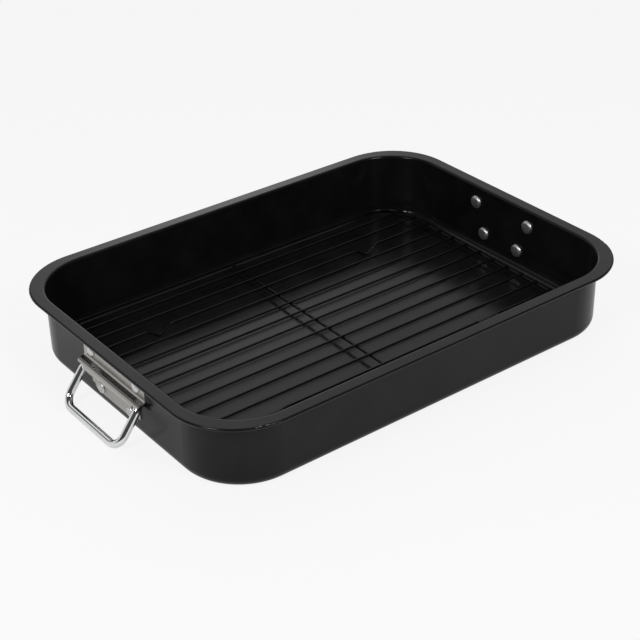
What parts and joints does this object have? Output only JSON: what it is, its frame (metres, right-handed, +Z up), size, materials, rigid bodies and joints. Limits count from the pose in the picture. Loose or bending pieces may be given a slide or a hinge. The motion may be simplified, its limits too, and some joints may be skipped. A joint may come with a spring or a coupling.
{
  "type": "roasting pan with rack",
  "caption": "Deep rectangular coated steel roasting pan with a rolled rim, folding bail handles on riveted brackets and a loose wire rack on bent feet.",
  "frame": {"origin": "centre of the pan's flat base, on the surface that it stands on", "axes": "+X along the length towards the right handle, +Y across the width, +Z up"},
  "size_m": [0.4546, 0.3062, 0.0604],
  "materials": {
    "nonstick_coating": "satin black non-stick coating on sheet steel",
    "rack_coating": "black non-stick coating on steel wire",
    "stainless_bracket": "rolled stainless strip, satin",
    "chromed_rod": "bright chrome plating",
    "rivet_metal": "bright domed rivets"
  },
  "bodies": {
    "pan": {"pan_body": "nonstick_coating", "left_handle_bracket": "stainless_bracket", "left_handle_rivets": "rivet_metal", "right_handle_bracket": "stainless_bracket", "right_handle_rivets": "rivet_metal"},
    "left_bail": {"left_bail_handle": "chromed_rod"},
    "right_bail": {"right_bail_handle": "chromed_rod"},
    "rack": {"rack_frame": "rack_coating", "rack_cross_wire": "rack_coating", "rack_wire_01": "rack_coating", "rack_wire_02": "rack_coating", "rack_wire_03": "rack_coating", "rack_wire_04": "rack_coating", "rack_wire_05": "rack_coating", "rack_wire_06": "rack_coating", "rack_wire_07": "rack_coating", "rack_wire_08": "rack_coating", "rack_wire_09": "rack_coating", "rack_wire_10": "rack_coating", "rack_wire_11": "rack_coating", "rack_wire_12": "rack_coating", "rack_wire_13": "rack_coating", "rack_wire_14": "rack_coating"}
  },
  "joints": [
    {"name": "left_bail_hinge", "type": "hinge", "parent": "pan", "child": "left_bail", "pos_m": [-0.20305, 0, 0.0314], "axis": [0, 1, 0], "range_deg": [-35, 7]},
    {"name": "right_bail_hinge", "type": "hinge", "parent": "pan", "child": "right_bail", "pos_m": [0.20305, 0, 0.0314], "axis": [0, -1, 0], "range_deg": [-35, 7]},
    {"name": "rack_lift", "type": "slide", "parent": "pan", "child": "rack", "axis": [0, 0, 1], "range_m": [0, 0.1]}
  ]
}
